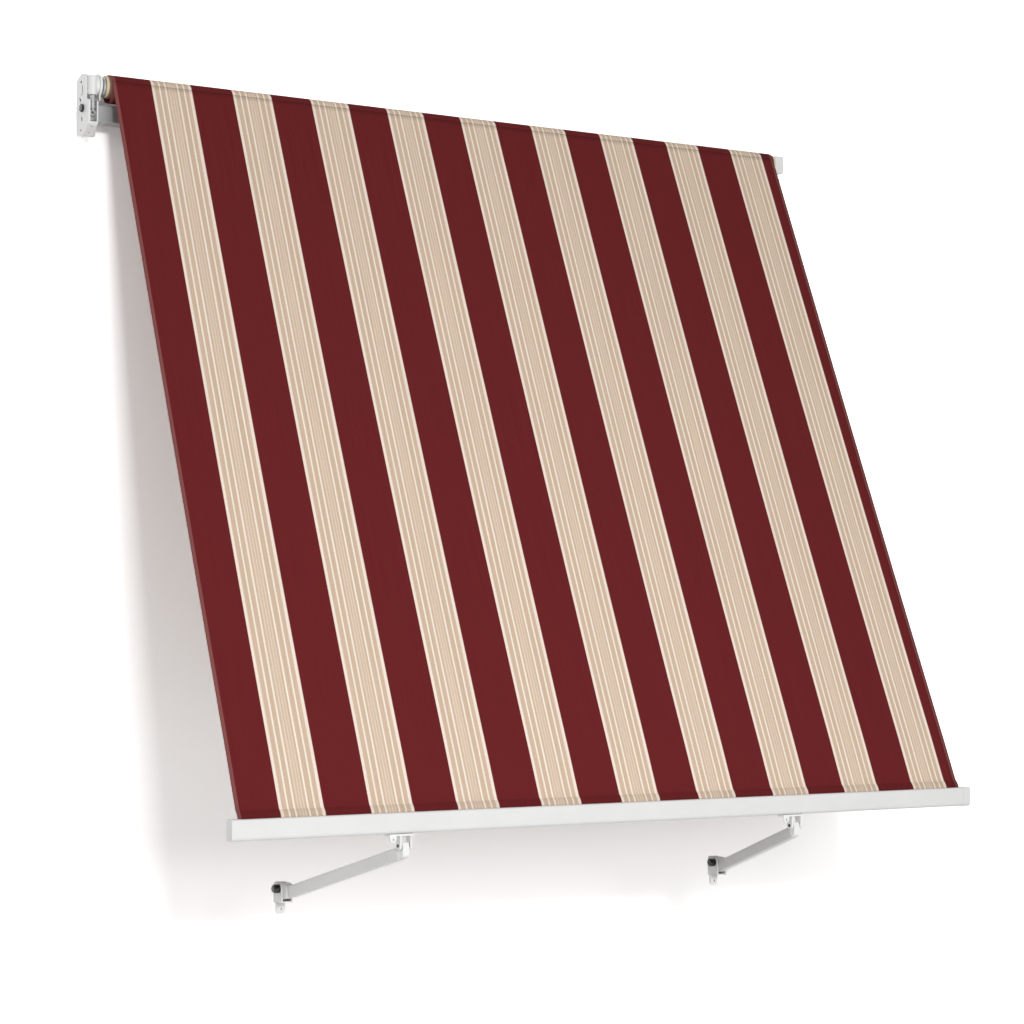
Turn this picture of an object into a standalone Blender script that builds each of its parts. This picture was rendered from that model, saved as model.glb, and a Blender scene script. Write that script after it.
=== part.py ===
"""Fabric awning with drop arms: X along the wall, Y into the wall, Z up, in metres.

The origin lies on the wall face of the left top bracket, at the height of the roller's axis.
"""

import math

import bmesh
import bpy
from mathutils import Matrix, Vector

GAP = 0.0003  # between pieces that rest on each other
FIT = 0.0004  # round a shaft in its bore
SIDES = 28

# fabric and roller
FABRIC_LEFT = 0.0348
FABRIC_WIDTH = 1.828
FABRIC_THICKNESS = 0.0006
FABRIC_SLOPE = math.radians(24.08)  # from the vertical
STRIPE_PITCH = 0.200
STRIPE_WIDTH = 0.0988
FIRST_STRIPE = 0.0932  # from the fabric's left edge
ROLLER_OUT = 0.054  # roller axis in front of the wall
TUBE_RADIUS = 0.025
TUBE_WALL = 0.0015
TUBE_MARGIN = 0.005  # of the tube beyond the fabric at each side
ROLL_THICKNESS = 0.0014  # the turns wound on the tube
WELT_RADIUS = 0.0026
GROOVE_RADIUS = 0.0034
GROOVE_MOUTH = 0.0030
CAP_COLLAR = 0.0055
CAP_PLUG = 0.025

# square bar
BAR_SIDE = 0.040
BAR_WALL = 0.002
BAR_CORNER = 0.004
BAR_OUT = 0.043
BAR_DOWN = 0.0626
PLUG_LENGTH = 0.028
BAR_BOLT_RADIUS = 0.004
BAR_BOLT_UP = 0.0120  # above the bar's centre

# top brackets
PLATE_THICKNESS = 0.004
LEFT_FACE = -0.020
BRACKET_WIDTH = 0.0225
INNER_CHEEK = 0.0025
FLANGE_INSET = 0.0035
FLANGE_WIDTH = 0.042
FLANGE_THICKNESS = 0.008
WALL_BOLT_RADIUS = 0.0045
SOCKET_BEYOND_TUBE = 0.026  # outer face of the right socket
BEARING_BEYOND_TUBE = 0.038  # outer face of the bearing box above it
BEARING_WIDTH = 0.029
BEARING_FRONT = 0.071
BEARING_TOP = 0.0225
BEARING_BOTTOM = -0.0235
BEARING_CORNER = 0.005
PIN_RADIUS = 0.006
BUSH_WALL = 0.003

# winch
HOUSING_RADIUS = 0.0225
HOUSING_WALL = 0.0025
HOUSING_LENGTH = 0.0235
COVER_RADIUS = 0.0267
COVER_THICKNESS = 0.006
WHEEL_TEETH = 11
WHEEL_PITCH_RADIUS = 0.0128
TOOTH_HEIGHT = 0.0026
WHEEL_WIDTH = 0.006
WORM_PITCH_RADIUS = 0.0046
MESH_PLAY = 0.0017  # the worm stands this much outside the pitch circle
CRANK_INSET = 0.012  # crank axis inside the left bracket's outer face
CRANK_RADIUS = 0.0064  # neck of the crank shaft
CRANK_DOWN = 0.060
EYE_RADIUS = 0.0052
EYE_WIRE = 0.0019
DISC_RADIUS = 0.022
DISC_THICKNESS = 0.005
SPINDLE_SIDE = 0.010
SPINDLE_RADIUS = 0.0075
SOCKET_SIDE = 0.018

# front bar
FRONT_BAR_OUT = 0.796
FRONT_BAR_TOP = -1.588
FRONT_BAR_HEIGHT = 0.043
FRONT_BAR_DEPTH = 0.026
FRONT_BAR_WALL = 0.002
FRONT_BAR_INSET = 0.0022  # its left end inside the fabric's left edge
FRONT_BAR_EXTRA = 0.001  # longer than the fabric is wide
END_CAP_LENGTH = 0.020
END_CAP_PROUD = 0.0006
CAP_SCREW_RADIUS = 0.0022

# arms
LEFT_FORK_INSET = 0.365  # from the front bar's left end
RIGHT_FORK_INSET = 0.480
ARM_SPLAY = 0.078  # how far an arm's wall end stands outside its fork
ARM_PIVOT_OUT = 0.390
ARM_PIVOT_DOWN = 1.776
FORK_PIVOT_DROP = 0.025  # below the front bar
ARM_HEIGHT = 0.026
ARM_WIDTH = 0.018
ARM_WALL = 0.002
ARM_CORNER = 0.003
ARM_DROP = 0.013  # beam's middle below the line of its pivots
ARM_INNER_END = 0.026
ARM_OUTER_END = 0.014
INSERT_LENGTH = 0.040
CASTING_WIDTH = 0.0174
NOSE_WIDTH = 0.015
INNER_BOLT_RADIUS = 0.004
OUTER_PIN_RADIUS = 0.00325

# wall brackets of the arms
BASE_BEHIND = 0.024  # mounting face behind the pivot
BASE_THICKNESS = 0.004
BASE_WIDTH = 0.030
TAB_HALF = 0.0105
CHEEK_THICKNESS = 0.004
BASE_SCREW_RADIUS = 0.0026
KNOB_RADIUS = 0.0097
KNOB_LENGTH = 0.0145

# forks of the front bar
SADDLE_THICKNESS = 0.004
SADDLE_DEPTH = 0.022
SADDLE_LEFT = 0.038
SADDLE_RIGHT = 0.018
FORK_INNER = 0.0196
TAB_WIDTH = 0.0155
TAB_DROP = 0.0165
FORK_SCREW_RADIUS = 0.0021

ROLLER_AXIS = (0.0, -ROLLER_OUT, 0.0)
ROLL_RADIUS = TUBE_RADIUS + GAP + ROLL_THICKNESS
SHEET_RADIUS = ROLL_RADIUS + GAP + FABRIC_THICKNESS / 2
FABRIC_RIGHT = FABRIC_LEFT + FABRIC_WIDTH
TUBE_LEFT = FABRIC_LEFT - TUBE_MARGIN
TUBE_RIGHT = FABRIC_RIGHT + TUBE_MARGIN
RIGHT_FACE = TUBE_RIGHT + SOCKET_BEYOND_TUBE
BEARING_FACE = TUBE_RIGHT + BEARING_BEYOND_TUBE
FRONT_BAR_LEFT = FABRIC_LEFT + FRONT_BAR_INSET
FRONT_BAR_RIGHT = FRONT_BAR_LEFT + FABRIC_WIDTH + FRONT_BAR_EXTRA
LEFT_FORK = FRONT_BAR_LEFT + LEFT_FORK_INSET
RIGHT_FORK = FRONT_BAR_RIGHT - RIGHT_FORK_INSET
WHEEL_X = LEFT_FACE + CRANK_INSET
WORM_OUT = ROLLER_OUT + WHEEL_PITCH_RADIUS + WORM_PITCH_RADIUS + MESH_PLAY
COVER_LEFT = LEFT_FACE + PLATE_THICKNESS + GAP + HOUSING_LENGTH + GAP
FORK_DOWN = FRONT_BAR_TOP - FRONT_BAR_HEIGHT - FORK_PIVOT_DROP


def clear_scene():
    for obj in list(bpy.data.objects):
        bpy.data.objects.remove(obj, do_unlink=True)


def new_collection(name):
    collection = bpy.data.collections.new(name)
    bpy.context.scene.collection.children.link(collection)
    return collection


clear_scene()
pieces = new_collection("fabric_awning")
cutters = new_collection("cutters")
cutters.hide_render = True


def material(name, colour, roughness, metallic=0.0):
    made = bpy.data.materials.new(name)
    made.use_nodes = True
    shader = made.node_tree.nodes["Principled BSDF"]
    shader.inputs["Base Color"].default_value = (*colour, 1.0)
    shader.inputs["Roughness"].default_value = roughness
    shader.inputs["Metallic"].default_value = metallic
    made.diffuse_color = (*colour, 1.0)
    return made


WHITE = material("white_powder_coat", (0.80, 0.80, 0.79), 0.42)
GREY = material("grey_zinc", (0.42, 0.43, 0.44), 0.45, 0.6)
STEEL = material("galvanised_steel", (0.50, 0.51, 0.52), 0.40, 0.8)
CREAM = material("cream_nylon", (0.78, 0.66, 0.48), 0.50)
BLACK = material("black_nylon", (0.02, 0.02, 0.02), 0.50)
RED = material("burgundy_acrylic", (0.16, 0.008, 0.012), 0.90)
BEIGE = material("beige_acrylic", (0.66, 0.47, 0.30), 0.90)


def empty(name, place):
    made = bpy.data.objects.new(name, None)
    made.empty_display_size = 0.02
    made.location = place
    pieces.objects.link(made)
    return made


def add(name, mesh, finish=None, parent=None, matrix=None, smooth=True):
    """A piece, or a cutter when it has no finish."""
    made = bpy.data.objects.new(name, mesh)
    made.parent = parent
    made.matrix_basis = matrix or Matrix.Identity(4)
    if finish is None:
        cutters.objects.link(made)
        made.hide_render = True
        made.display_type = "WIRE"
    else:
        pieces.objects.link(made)
        if not mesh.materials:
            mesh.materials.append(finish)
        if smooth:
            mesh.shade_smooth()
            mesh.set_sharp_from_angle(angle=math.radians(35))
    return made


def mesh_from(build, name):
    """A mesh filled by the function build, which gets an empty bmesh."""
    shape = bmesh.new()
    build(shape)
    bmesh.ops.recalc_face_normals(shape, faces=shape.faces)
    mesh = bpy.data.meshes.new(name)
    shape.to_mesh(mesh)
    shape.free()
    return mesh


def box(name, low, high, finish=None, parent=None):
    low, high = Vector(low), Vector(high)

    def build(shape):
        bmesh.ops.create_cube(shape, size=1.0)
        bmesh.ops.scale(shape, vec=high - low, verts=shape.verts)
        bmesh.ops.translate(shape, vec=(low + high) / 2, verts=shape.verts)

    return add(name, mesh_from(build, name), finish, parent)


def rod(name, start, end, radius, finish=None, parent=None, end_radius=None, sides=SIDES):
    """A cylinder or a cone from start to end."""
    start, end = Vector(start), Vector(end)
    along = end - start
    turn = along.to_track_quat("Z", "Y").to_matrix().to_4x4()

    def build(shape):
        bmesh.ops.create_cone(
            shape,
            cap_ends=True,
            segments=sides,
            radius1=radius,
            radius2=radius if end_radius is None else end_radius,
            depth=along.length,
        )
        bmesh.ops.transform(shape, matrix=turn, verts=shape.verts)
        bmesh.ops.translate(shape, vec=(start + end) / 2, verts=shape.verts)

    return add(name, mesh_from(build, name), finish, parent)


def rounded(corners, steps=5):
    """Points of an outline whose corners (a, b, radius) are rounded by arcs."""
    points = []
    for index, (a, b, radius) in enumerate(corners):
        here = Vector((a, b))
        before = (Vector(corners[index - 1][:2]) - here).normalized()
        after = (Vector(corners[(index + 1) % len(corners)][:2]) - here).normalized()
        if radius <= 0:
            points.append(here)
            continue
        half = before.angle(after) / 2
        centre = here + (before + after).normalized() * (radius / math.sin(half))
        first = here + before * (radius / math.tan(half)) - centre
        last = here + after * (radius / math.tan(half)) - centre
        turn = first.angle_signed(last)
        for step in range(steps + 1):
            angle = -turn * step / steps
            points.append(centre + Matrix.Rotation(angle, 2) @ first)
    return points


def circle(a, b, radius, sides=SIDES):
    angles = [2 * math.pi * index / sides for index in range(sides)]
    return [Vector((a + radius * math.cos(t), b + radius * math.sin(t))) for t in angles]


ALONG_X = Matrix(((0, 0, 1, 0), (1, 0, 0, 0), (0, 1, 0, 0), (0, 0, 0, 1)))
ALONG_Y = Matrix(((1, 0, 0, 0), (0, 0, -1, 0), (0, 1, 0, 0), (0, 0, 0, 1)))


def extruded(name, loops, start, end, finish=None, parent=None, frame=ALONG_X):
    """Outline loops, holes among them, extruded along the frame's third axis from start to end."""
    curve = bpy.data.curves.new(name, "CURVE")
    curve.dimensions = "2D"
    curve.fill_mode = "BOTH"
    curve.extrude = (end - start) / 2
    for loop in loops:
        spline = curve.splines.new("POLY")
        spline.points.add(len(loop) - 1)
        for point, place in zip(spline.points, loop):
            point.co = (place[0], place[1], 0.0, 1.0)
        spline.use_cyclic_u = True
    guide = bpy.data.objects.new(name + "_outline", curve)
    bpy.context.scene.collection.objects.link(guide)
    bpy.context.view_layer.update()
    graph = bpy.context.evaluated_depsgraph_get()
    mesh = bpy.data.meshes.new_from_object(guide.evaluated_get(graph))
    bpy.data.objects.remove(guide, do_unlink=True)
    mesh.name = name
    place = frame @ Matrix.Translation((0, 0, (start + end) / 2))
    shape = bmesh.new()
    shape.from_mesh(mesh)
    bmesh.ops.remove_doubles(shape, verts=shape.verts, dist=0.00001)
    bmesh.ops.transform(shape, matrix=place, verts=shape.verts)
    bmesh.ops.recalc_face_normals(shape, faces=shape.faces)
    shape.to_mesh(mesh)
    shape.free()
    mesh.materials.clear()
    return add(name, mesh, finish, parent)


def boolean(target, helper, operation):
    modifier = target.modifiers.new(operation.lower() + "_" + helper.name, "BOOLEAN")
    modifier.operation = operation
    modifier.object = helper
    modifier.solver = "EXACT"


def carve(target, *helpers):
    for helper in helpers:
        boolean(target, helper, "DIFFERENCE")


def fuse(target, *helpers):
    for helper in helpers:
        boolean(target, helper, "UNION")


def round_edges(target, width, segments=2):
    modifier = target.modifiers.new("rounded_edges", "BEVEL")
    modifier.width = width
    modifier.segments = segments
    modifier.limit_method = "ANGLE"
    modifier.angle_limit = math.radians(50)


def turned(name, profile, finish, parent=None, sides=SIDES):
    """A profile of (x, radius) points spun about the local X axis."""

    def build(shape):
        verts = [shape.verts.new((x, 0.0, radius)) for x, radius in profile]
        edges = [shape.edges.new(pair) for pair in zip(verts, verts[1:] + verts[:1])]
        bmesh.ops.spin(
            shape,
            geom=verts + edges,
            axis=(1, 0, 0),
            cent=(0, 0, 0),
            angle=2 * math.pi,
            steps=sides,
            use_merge=True,
        )
        bmesh.ops.remove_doubles(shape, verts=shape.verts, dist=0.000001)

    return add(name, mesh_from(build, name), finish, parent)


def stripe_edges():
    """X of each change of colour across the fabric, ends included."""
    edges = [FABRIC_LEFT]
    for index in range(int((FABRIC_WIDTH - FIRST_STRIPE) / STRIPE_PITCH) + 1):
        left = FABRIC_LEFT + FIRST_STRIPE + index * STRIPE_PITCH
        edges += [left, left + STRIPE_WIDTH]
    return [edge for edge in edges if edge < FABRIC_RIGHT - 0.001] + [FABRIC_RIGHT]


def colour_stripes(mesh):
    """Beige on the faces that lie between the edges of a stripe."""
    mesh.materials.append(RED)
    mesh.materials.append(BEIGE)
    edges = stripe_edges()
    for face in mesh.polygons:
        crossed = sum(face.center.x > edge for edge in edges)
        on_stripe = crossed % 2 == 0 and 0 < crossed < len(edges)
        face.material_index = int(on_stripe and abs(face.normal.x) < 0.5)


def bracket(side):
    """The cast top bracket at the left (-1) or right (1) end, with its socket for the square bar."""
    name = "left_bracket" if side < 0 else "right_bracket"
    face = LEFT_FACE if side < 0 else RIGHT_FACE

    def span(start, end):
        """Distances inward from the outer face, as a rising pair of X."""
        return sorted((face - side * start, face - side * end))

    plate_outline, block_outline, pocket_outline = OUTLINES[side]
    plate = extruded(name, [rounded(plate_outline)], *span(0.0, PLATE_THICKNESS), WHITE)
    block_span = span(PLATE_THICKNESS / 2, BRACKET_WIDTH)
    block = extruded(name + "_block", [rounded(block_outline)], *block_span)
    pocket_span = span(PLATE_THICKNESS, BRACKET_WIDTH - INNER_CHEEK)
    pocket = extruded(name + "_pocket", [rounded(pocket_outline)], *pocket_span)
    left, right = span(FLANGE_INSET, FLANGE_WIDTH)
    flange = box(
        name + "_flange",
        (left, -FLANGE_THICKNESS, FLANGE_BOTTOM),
        (right, 0.0, FLANGE_TOP),
    )
    carve(block, pocket)
    fuse(plate, block, flange)
    left, right = span(PLATE_THICKNESS, BRACKET_WIDTH + FLANGE_WIDTH)
    half = BAR_SIDE / 2 + FIT
    carve(
        plate,
        box(
            name + "_bar_hole",
            (left, -BAR_OUT - half, -BAR_DOWN - half),
            (right, -BAR_OUT + half, -BAR_DOWN + half),
        ),
    )
    out, inner = face + side * 0.01, face - side * 0.006
    holes = PLATE_HOLES if side < 0 else PLATE_HOLES[:1]
    for index, (y, z, radius) in enumerate(holes):
        carve(plate, rod(f"{name}_hole_{index}", (out, y, z), (inner, y, z), radius, sides=16))
    slot = (-BAR_OUT + 0.006, -BAR_DOWN - BAR_BOLT_UP)
    carve(
        plate,
        box(
            name + "_slot",
            (min(out, inner), slot[0] - 0.0024, slot[1] - 0.005),
            (max(out, inner), slot[0] + 0.0024, slot[1] + 0.005),
        ),
    )
    middle = face - side * BRACKET_WIDTH / 2
    for index, (y, z, way) in enumerate(RIM_HOLES if side < 0 else ()):
        direction = Vector((0.0, math.cos(way), math.sin(way)))
        centre = Vector((middle, y, z))
        hole = rod(
            f"{name}_rim_hole_{index}",
            centre - direction * 0.012,
            centre + direction * 0.012,
            0.0023,
            sides=12,
        )
        carve(plate, hole)
    bolt_x = face - side * (FLANGE_WIDTH - 0.008)
    for index, z in enumerate((FLANGE_TOP - 0.010, FLANGE_BOTTOM + 0.010)):
        start = (bolt_x, -0.02, z)
        carve(plate, rod(f"{name}_wall_hole_{index}", start, (bolt_x, 0.01, z), WALL_BOLT_RADIUS))
    return plate


FLANGE_TOP = 0.018
FLANGE_BOTTOM = -0.104
LEFT_PLATE = (
    (-0.006, 0.018, 0.012),
    (-0.032, 0.0295, 0.016),
    (-0.0600, 0.0245, 0.006),
    (-0.0600, -0.032, 0.003),
    (-0.0810, -0.037, 0.005),
    (-0.0810, -0.090, 0.016),
    (-0.038, -0.115, 0.012),
    (-0.007, -0.106, 0.004),
)
LEFT_BLOCK = (
    (-0.003, -0.036, 0.0),
    (-0.0805, -0.0375, 0.005),
    (-0.0805, -0.0898, 0.0158),
    (-0.0381, -0.1145, 0.012),
    (-0.003, -0.1038, 0.0),
)
LEFT_POCKET = (
    (-0.008, -0.020, 0.0),
    (-0.100, -0.020, 0.0),
    (-0.100, -0.0860, 0.0),
    (-0.077, -0.0860, 0.0),
    (-0.038, -0.1095, 0.009),
    (-0.008, -0.1000, 0.0),
)
RIGHT_PLATE = (
    (-0.006, 0.016, 0.004),
    (-0.056, 0.016, 0.006),
    (-0.056, -0.034, 0.003),
    (-0.0665, -0.037, 0.005),
    (-0.0665, -0.080, 0.010),
    (-0.038, -0.100, 0.010),
    (-0.007, -0.103, 0.004),
)
RIGHT_BLOCK = (
    (-0.003, -0.036, 0.0),
    (-0.0660, -0.0375, 0.005),
    (-0.0660, -0.0798, 0.0098),
    (-0.0381, -0.0995, 0.010),
    (-0.003, -0.1020, 0.0),
)
RIGHT_POCKET = (
    (-0.010, -0.0865, 0.003),
    (-0.052, -0.0865, 0.003),
    (-0.052, -0.1200, 0.0),
    (-0.010, -0.1200, 0.0),
)
OUTLINES = {
    -1: (LEFT_PLATE, LEFT_BLOCK, LEFT_POCKET),
    1: (RIGHT_PLATE, RIGHT_BLOCK, RIGHT_POCKET),
}
PLATE_HOLES = (
    (-BAR_OUT, -BAR_DOWN + BAR_BOLT_UP, BAR_BOLT_RADIUS + FIT),
    (-0.0315, 0.0105, 0.0032),
    (-0.0270, -0.0300, 0.0034),
    (-0.0215, -0.0245, 0.0016),
    (-0.0310, -0.0990, 0.0026),
)
RIM_HOLES = ((-0.068, -0.0935, math.radians(60)), (-0.050, -0.1035, math.radians(60)))

left_bracket = bracket(-1)
right_bracket = bracket(1)


def curved_slot(target):
    """The arc-shaped slot beside the winch, in the left plate."""
    middle = Vector((-0.0255, -0.0075))
    outer, inner, reach = 0.0170, 0.0144, math.radians(46)
    angles = [reach * (index / 4 - 1) + math.radians(190) for index in range(9)]
    arc = [middle + outer * Vector((math.cos(t), math.sin(t))) for t in angles]
    back = [middle + inner * Vector((math.cos(t), math.sin(t))) for t in reversed(angles)]
    cutter = extruded("slot_cutter", [arc + back], LEFT_FACE - 0.01, LEFT_FACE + 0.006)
    carve(target, cutter)


curved_slot(left_bracket)


def right_bearing():
    """The box with rounded edges that carries the roller's pin, cast on the right bracket."""
    inner = BEARING_FACE - BEARING_WIDTH
    bearing = box(
        "bearing_box",
        (inner, -BEARING_FRONT, BEARING_BOTTOM),
        (BEARING_FACE, -FLANGE_THICKNESS + 0.001, BEARING_TOP),
    )
    round_edges(bearing, BEARING_CORNER, 4)
    end = BEARING_FACE - PLATE_THICKNESS
    bore_radius = PIN_RADIUS + FIT + BUSH_WALL + GAP
    bore = rod("bearing_bore", (inner - 0.01, -ROLLER_OUT, 0.0), (end, -ROLLER_OUT, 0.0), bore_radius)
    fuse(right_bracket, bearing)
    carve(right_bracket, bore)


right_bearing()


def square_loop(half, radius):
    corners = ((-half, -half), (half, -half), (half, half), (-half, half))
    shifted = [(a - BAR_OUT, b - BAR_DOWN, radius) for a, b in corners]
    return rounded(shifted, 3)


BAR_LEFT = LEFT_FACE + PLATE_THICKNESS + GAP
BAR_RIGHT = RIGHT_FACE - PLATE_THICKNESS - GAP
square_bar = extruded(
    "square_bar",
    [square_loop(BAR_SIDE / 2, BAR_CORNER), square_loop(BAR_SIDE / 2 - BAR_WALL, BAR_CORNER / 2)],
    BAR_LEFT,
    BAR_RIGHT,
    STEEL,
)


def hexagon_bolt(name, face, side, y, z, radius, length, head, finish=STEEL, parent=None):
    """A bolt whose six-sided head rests on the face at X = face, with its shank inward."""
    under = face + side * GAP
    top = under + side * radius * 1.3
    bolt = rod(name, (under, y, z), (top, y, z), head, finish, parent, sides=6)
    shank = rod(
        name + "_shank",
        (under + side * 0.001, y, z),
        (face - side * length, y, z),
        radius,
        parent=parent,
        sides=20,
    )
    fuse(bolt, shank)
    return bolt


def bar_end(side):
    """The plug in one end of the square bar and the bolt through the bracket into it."""
    word = "left" if side < 0 else "right"
    face = LEFT_FACE if side < 0 else RIGHT_FACE
    bar_end_x = BAR_LEFT if side < 0 else BAR_RIGHT
    inner = bar_end_x - side * PLUG_LENGTH
    half = BAR_SIDE / 2 - BAR_WALL - GAP
    plug = extruded(
        word + "_bar_plug",
        [square_loop(half, BAR_CORNER / 2)],
        min(bar_end_x, inner),
        max(bar_end_x, inner),
        BLACK,
    )
    for index, rise in enumerate((BAR_BOLT_UP, -BAR_BOLT_UP)):
        z = -BAR_DOWN + rise
        start, end = (bar_end_x + side * 0.01, -BAR_OUT, z), (inner - side * 0.01, -BAR_OUT, z)
        carve(plug, rod(f"{word}_plug_hole_{index}", start, end, BAR_BOLT_RADIUS + FIT))
    hexagon_bolt(
        word + "_bar_bolt",
        face,
        side,
        -BAR_OUT,
        -BAR_DOWN + BAR_BOLT_UP,
        BAR_BOLT_RADIUS,
        PLUG_LENGTH - 0.002,
        0.0094,
    )


bar_end(-1)
bar_end(1)


def ring_profile(left, right, inner, outer):
    return ((left, inner), (right, inner), (right, outer), (left, outer))


roller_axis = empty("roller_axis", ROLLER_AXIS)


def winch():
    """Housing and cover, fixed to the left bracket, with the tunnel for the worm."""
    left = LEFT_FACE + PLATE_THICKNESS + GAP
    right = left + HOUSING_LENGTH
    tunnel = WORM_PITCH_RADIUS + 0.0021
    profile = ring_profile(left, right, 0.004, HOUSING_RADIUS)
    housing = turned("winch_housing", profile, WHITE, roller_axis, 40)
    front = -(WORM_OUT - ROLLER_OUT)
    boss = rod(
        "worm_boss",
        (WHEEL_X, front, HOUSING_RADIUS * 0.82),
        (WHEEL_X, front, -HOUSING_RADIUS * 1.12),
        tunnel + HOUSING_WALL,
        parent=roller_axis,
    )
    bore = rod(
        "worm_bore",
        (WHEEL_X, front, HOUSING_RADIUS * 0.82 - HOUSING_WALL),
        (WHEEL_X, front, -HOUSING_RADIUS * 2),
        tunnel,
        parent=roller_axis,
    )
    room = rod(
        "wheel_room",
        (left + HOUSING_WALL, 0, 0),
        (right + 0.01, 0, 0),
        HOUSING_RADIUS - HOUSING_WALL,
        parent=roller_axis,
        sides=40,
    )
    fuse(housing, boss)
    carve(housing, room, bore)
    cover_right = COVER_LEFT + COVER_THICKNESS
    cover = turned(
        "winch_cover",
        (
            (COVER_LEFT, SPINDLE_RADIUS + FIT),
            (cover_right, SPINDLE_RADIUS + FIT),
            (cover_right, COVER_RADIUS - 0.0015),
            (cover_right - 0.0015, COVER_RADIUS),
            (COVER_LEFT, COVER_RADIUS),
        ),
        WHITE,
        roller_axis,
        40,
    )
    lug = box(
        "cover_lug",
        (COVER_LEFT, -COVER_RADIUS * 0.62, -COVER_RADIUS - 0.009),
        (COVER_LEFT + COVER_THICKNESS / 2, -COVER_RADIUS * 0.30, -COVER_RADIUS * 0.7),
        parent=roller_axis,
    )
    fuse(cover, lug)
    for index, angle in enumerate((math.radians(60), math.radians(120), math.radians(-50))):
        y, z = 0.0161 * math.cos(angle), 0.0161 * math.sin(angle)
        screw = rod(
            f"cover_screw_{index + 1}",
            (cover_right + GAP, y, z),
            (cover_right + GAP + 0.0022, y, z),
            0.0032,
            STEEL,
            roller_axis,
            0.0024,
            16,
        )
        shank_end = (COVER_LEFT + 0.0005, y, z)
        shank_start = (cover_right + GAP + 0.0002, y, z)
        fuse(screw, rod(f"screw_shank_{index}", shank_start, shank_end, 0.0016, parent=roller_axis, sides=12))
        hole_start = (cover_right + 0.01, y, z)
        hole_end = (COVER_LEFT - 0.005, y, z)
        carve(cover, rod(f"screw_hole_{index}", hole_start, hole_end, 0.0016 + FIT, parent=roller_axis, sides=12))


winch()


def worm_wheel():
    """The wheel on the spindle; its teeth follow the helix of the worm."""
    pitch = 2 * math.pi / WHEEL_TEETH
    root = WHEEL_PITCH_RADIUS - TOOTH_HEIGHT / 2
    tip = WHEEL_PITCH_RADIUS + TOOTH_HEIGHT / 2
    lead_angle = math.atan(pitch * WHEEL_PITCH_RADIUS / (2 * math.pi * WORM_PITCH_RADIUS))
    twist = math.tan(lead_angle) / WHEEL_PITCH_RADIUS
    outline = []
    for tooth in range(WHEEL_TEETH):
        middle = math.pi + tooth * pitch
        for share, radius in ((-0.24, root), (-0.12, tip), (0.12, tip), (0.24, root)):
            angle = middle + share * pitch
            outline.append(Vector((radius * math.cos(angle), radius * math.sin(angle))))
    half = SPINDLE_SIDE / 2 + FIT
    bore = [Vector(corner) for corner in ((-half, -half), (half, -half), (half, half), (-half, half))]
    left, right = WHEEL_X - WHEEL_WIDTH / 2, WHEEL_X + WHEEL_WIDTH / 2
    wheel = extruded("worm_wheel", [outline], left, right, CREAM, roller_axis)
    for vertex in wheel.data.vertices:
        turn = Matrix.Rotation(-twist * (vertex.co.x - WHEEL_X), 3, "X")
        vertex.co = turn @ vertex.co
    carve(wheel, extruded("wheel_bore", [bore], left - 0.01, right + 0.01, parent=roller_axis))


worm_wheel()


def spindle():
    """Square through the wheel, round through the cover, then the disc and the drive square."""
    square_end = WHEEL_X + WHEEL_WIDTH / 2 + 0.001
    disc_left = COVER_LEFT + COVER_THICKNESS + 0.0035
    disc_right = disc_left + DISC_THICKNESS
    profile = (
        (disc_left, 0.0),
        (disc_right, 0.0),
        (disc_right, DISC_RADIUS),
        (disc_left + 0.001, DISC_RADIUS),
        (disc_left, DISC_RADIUS - 0.001),
    )
    disc = turned("drive_spindle", profile, GREY, roller_axis, 40)
    shaft = rod(
        "spindle_shaft",
        (square_end, 0, 0),
        (disc_left + 0.001, 0, 0),
        SPINDLE_RADIUS,
        parent=roller_axis,
    )
    half = SPINDLE_SIDE / 2
    square_start = WHEEL_X - WHEEL_WIDTH / 2 - 0.001
    square = box(
        "spindle_square",
        (square_start, -half, -half),
        (square_end + 0.001, half, half),
        parent=roller_axis,
    )
    drive = SOCKET_SIDE / 2
    drive_box = box(
        "drive_square",
        (disc_right - 0.001, -drive, -drive),
        (TUBE_LEFT + 0.012, drive, drive),
        parent=roller_axis,
    )
    fuse(disc, shaft, square, drive_box)
    return disc_right


disc_right = spindle()


def groove_angle_point(radius):
    """The welt groove lies on the wall side of the tube."""
    return Vector((radius, 0.0))


def tube_outline():
    """Round tube with a keyhole groove: mouth at the surface, round channel below it."""
    channel = TUBE_RADIUS - 0.0010 - GROOVE_RADIUS
    mouth = math.asin(GROOVE_MOUTH / 2 / TUBE_RADIUS)
    steps = 40
    outer = []
    for index in range(steps + 1):
        angle = mouth + (2 * math.pi - 2 * mouth) * index / steps
        outer.append(TUBE_RADIUS * Vector((math.cos(angle), math.sin(angle))))
    inlet = math.asin(GROOVE_MOUTH / 2 / GROOVE_RADIUS)
    for index in range(13):
        angle = -inlet - (2 * math.pi - 2 * inlet) * index / 12
        turned_point = GROOVE_RADIUS * Vector((math.cos(angle), math.sin(angle)))
        outer.append(groove_angle_point(channel) + turned_point)
    shell = GROOVE_RADIUS + TUBE_WALL
    bore = TUBE_RADIUS - TUBE_WALL
    cosine = (bore**2 + channel**2 - shell**2) / (2 * bore * channel)
    meet = math.acos(cosine)
    inner = []
    for index in range(steps + 1):
        angle = meet + (2 * math.pi - 2 * meet) * index / steps
        inner.append(bore * Vector((math.cos(angle), math.sin(angle))))
    last = inner[-1] - groove_angle_point(channel)
    start_angle = math.atan2(last.y, last.x)
    sweep = -2 * (math.pi + start_angle)
    for index in range(1, 12):
        angle = start_angle + sweep * index / 12
        inner.append(groove_angle_point(channel) + shell * Vector((math.cos(angle), math.sin(angle))))
    return outer, inner, channel


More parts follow.
